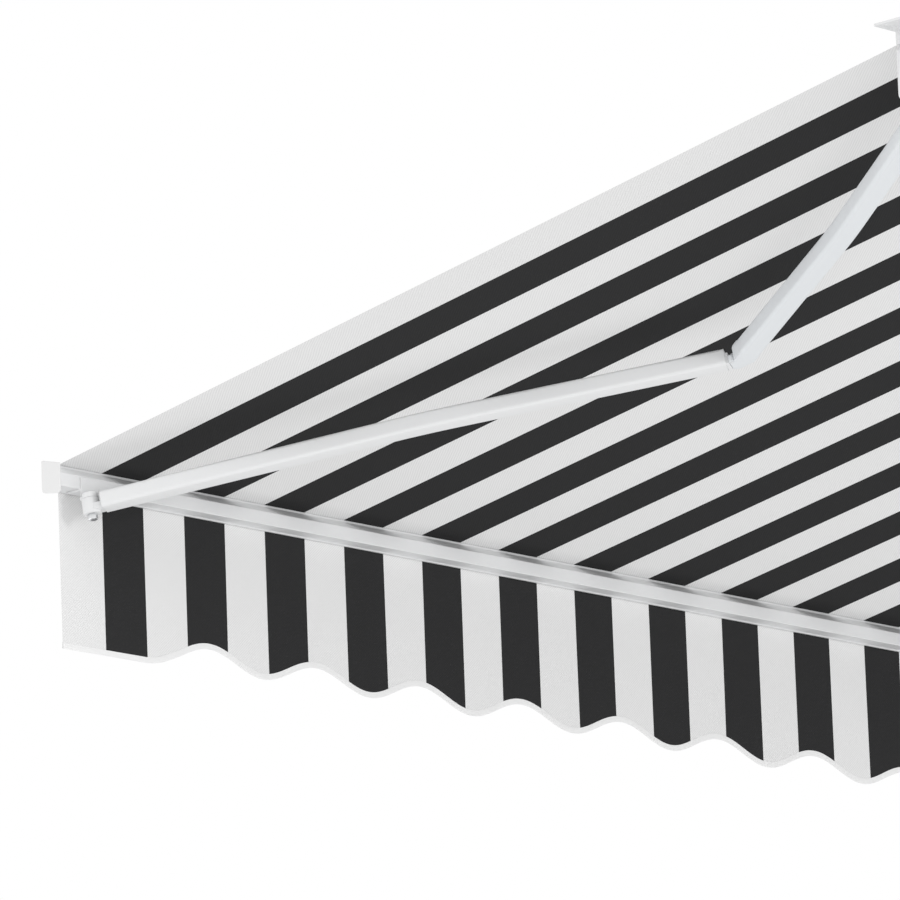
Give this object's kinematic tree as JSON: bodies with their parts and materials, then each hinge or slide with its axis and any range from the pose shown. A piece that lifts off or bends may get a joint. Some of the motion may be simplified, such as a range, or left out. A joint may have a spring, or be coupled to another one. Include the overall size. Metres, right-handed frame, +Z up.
{
  "type": "folding-arm patio awning",
  "caption": "Open folding-arm awning with a black and white striped canopy, a scalloped valance, white jointed arms, a front bar, a cloth roller and a square torsion bar on end brackets.",
  "frame": {"origin": "on the wall plane, midway between the two end brackets, level with the torsion bar's centre", "axes": "+X to the right end seen from behind the awning with the wall at the viewer's back, +Y into the wall (the awning reaches out along -Y), +Z up"},
  "size_m": [2.528, 2.0175, 0.651],
  "materials": {
    "powder_coat": "white powder coat, satin",
    "white_plastic": "smooth moulded",
    "plated_steel": "zinc plated",
    "bronze": "machined",
    "striped_cloth": "woven, black and white stripes"
  },
  "bodies": {
    "wall_side": {"torsion_bar": "powder_coat", "canopy_cloth": "striped_cloth", "gearbox_housing": "white_plastic", "end_bracket_left": "powder_coat", "bar_plug_left": "white_plastic", "bracket_bolt_left": "plated_steel", "shoulder_bracket_left": "powder_coat", "shoulder_pin_left": "plated_steel", "shoulder_nut_left": "plated_steel", "end_bracket_right": "powder_coat", "bar_plug_right": "white_plastic", "bracket_bolt_right": "plated_steel", "shoulder_bracket_right": "powder_coat", "shoulder_pin_right": "plated_steel", "shoulder_nut_right": "plated_steel"},
    "roller": {"roller_tube": "powder_coat", "cloth_roll": "striped_cloth", "roller_plug_left": "white_plastic", "roller_plug_right": "white_plastic", "worm_wheel": "bronze"},
    "crank_drive": {"crank_eye": "plated_steel"},
    "front_bar": {"front_bar": "powder_coat", "canopy_hem_rod": "white_plastic", "valance_hem_rod": "white_plastic", "valance_cloth": "striped_cloth", "bar_end_cap_left": "white_plastic", "bar_bracket_left": "powder_coat", "knuckle_bolt_left": "plated_steel", "knuckle_nut_left": "plated_steel", "bar_end_cap_right": "white_plastic", "bar_bracket_right": "powder_coat", "knuckle_bolt_right": "plated_steel", "knuckle_nut_right": "plated_steel"},
    "left_rear_arm": {"rear_arm_tube_left": "powder_coat", "rear_arm_shoulder_end_left": "powder_coat", "rear_arm_elbow_end_left": "powder_coat", "elbow_pin_left": "plated_steel"},
    "left_front_arm": {"front_arm_tube_left": "powder_coat", "front_arm_elbow_end_left": "powder_coat", "front_arm_bar_end_left": "powder_coat", "arm_spring_left": "plated_steel", "arm_cable_left": "plated_steel"},
    "right_rear_arm": {"rear_arm_tube_right": "powder_coat", "rear_arm_shoulder_end_right": "powder_coat", "rear_arm_elbow_end_right": "powder_coat", "elbow_pin_right": "plated_steel"},
    "right_front_arm": {"front_arm_tube_right": "powder_coat", "front_arm_elbow_end_right": "powder_coat", "front_arm_bar_end_right": "powder_coat", "arm_spring_right": "plated_steel", "arm_cable_right": "plated_steel"}
  },
  "joints": [
    {"name": "right_shoulder", "type": "hinge", "parent": "wall_side", "child": "right_rear_arm", "pos_m": [1.1837, -0.1286, -0.01091], "axis": [0, 0.1736, -0.9848], "range_deg": [0, 56], "deforming": ["canopy_cloth"]},
    {"name": "right_elbow", "type": "hinge", "parent": "right_rear_arm", "child": "right_front_arm", "pos_m": [0.63015, -1.04381, -0.17229], "axis": [0, -0.1736, 0.9848], "range_deg": [0, 112]},
    {"name": "right_front_pivot", "type": "hinge", "parent": "right_front_arm", "child": "front_bar", "pos_m": [1.1837, -1.95902, -0.33367], "axis": [0, -0.1736, 0.9848], "range_deg": [-56, 0]},
    {"name": "left_shoulder", "type": "hinge", "parent": "wall_side", "child": "left_rear_arm", "pos_m": [-1.1837, -0.1286, -0.01091], "axis": [0, -0.1736, 0.9848], "range_deg": [0, 56]},
    {"name": "left_elbow", "type": "hinge", "parent": "left_rear_arm", "child": "left_front_arm", "pos_m": [-0.63015, -1.04381, -0.17229], "axis": [0, 0.1736, -0.9848], "range_deg": [0, 112]},
    {"name": "roller_spin", "type": "hinge", "parent": "wall_side", "child": "roller", "pos_m": [0, -0.06032, 0.05474], "axis": [-1, 0, 0], "range_deg": [0, 3493]},
    {"name": "crank_spin", "type": "hinge", "parent": "wall_side", "child": "crank_drive", "pos_m": [-1.2283, -0.07662, 0.03474], "axis": [0, 0, 1], "range_deg": [0, 48894]}
  ],
  "couplings": [
    {"joint": "right_elbow", "follows": "right_shoulder", "ratio": 2},
    {"joint": "right_front_pivot", "follows": "right_shoulder", "ratio": -1},
    {"joint": "left_shoulder", "follows": "right_shoulder", "ratio": 1},
    {"joint": "left_elbow", "follows": "right_shoulder", "ratio": 2},
    {"joint": "roller_spin", "follows": "right_shoulder", "ratio": 62.363},
    {"joint": "crank_spin", "follows": "right_shoulder", "ratio": 873.08}
  ]
}
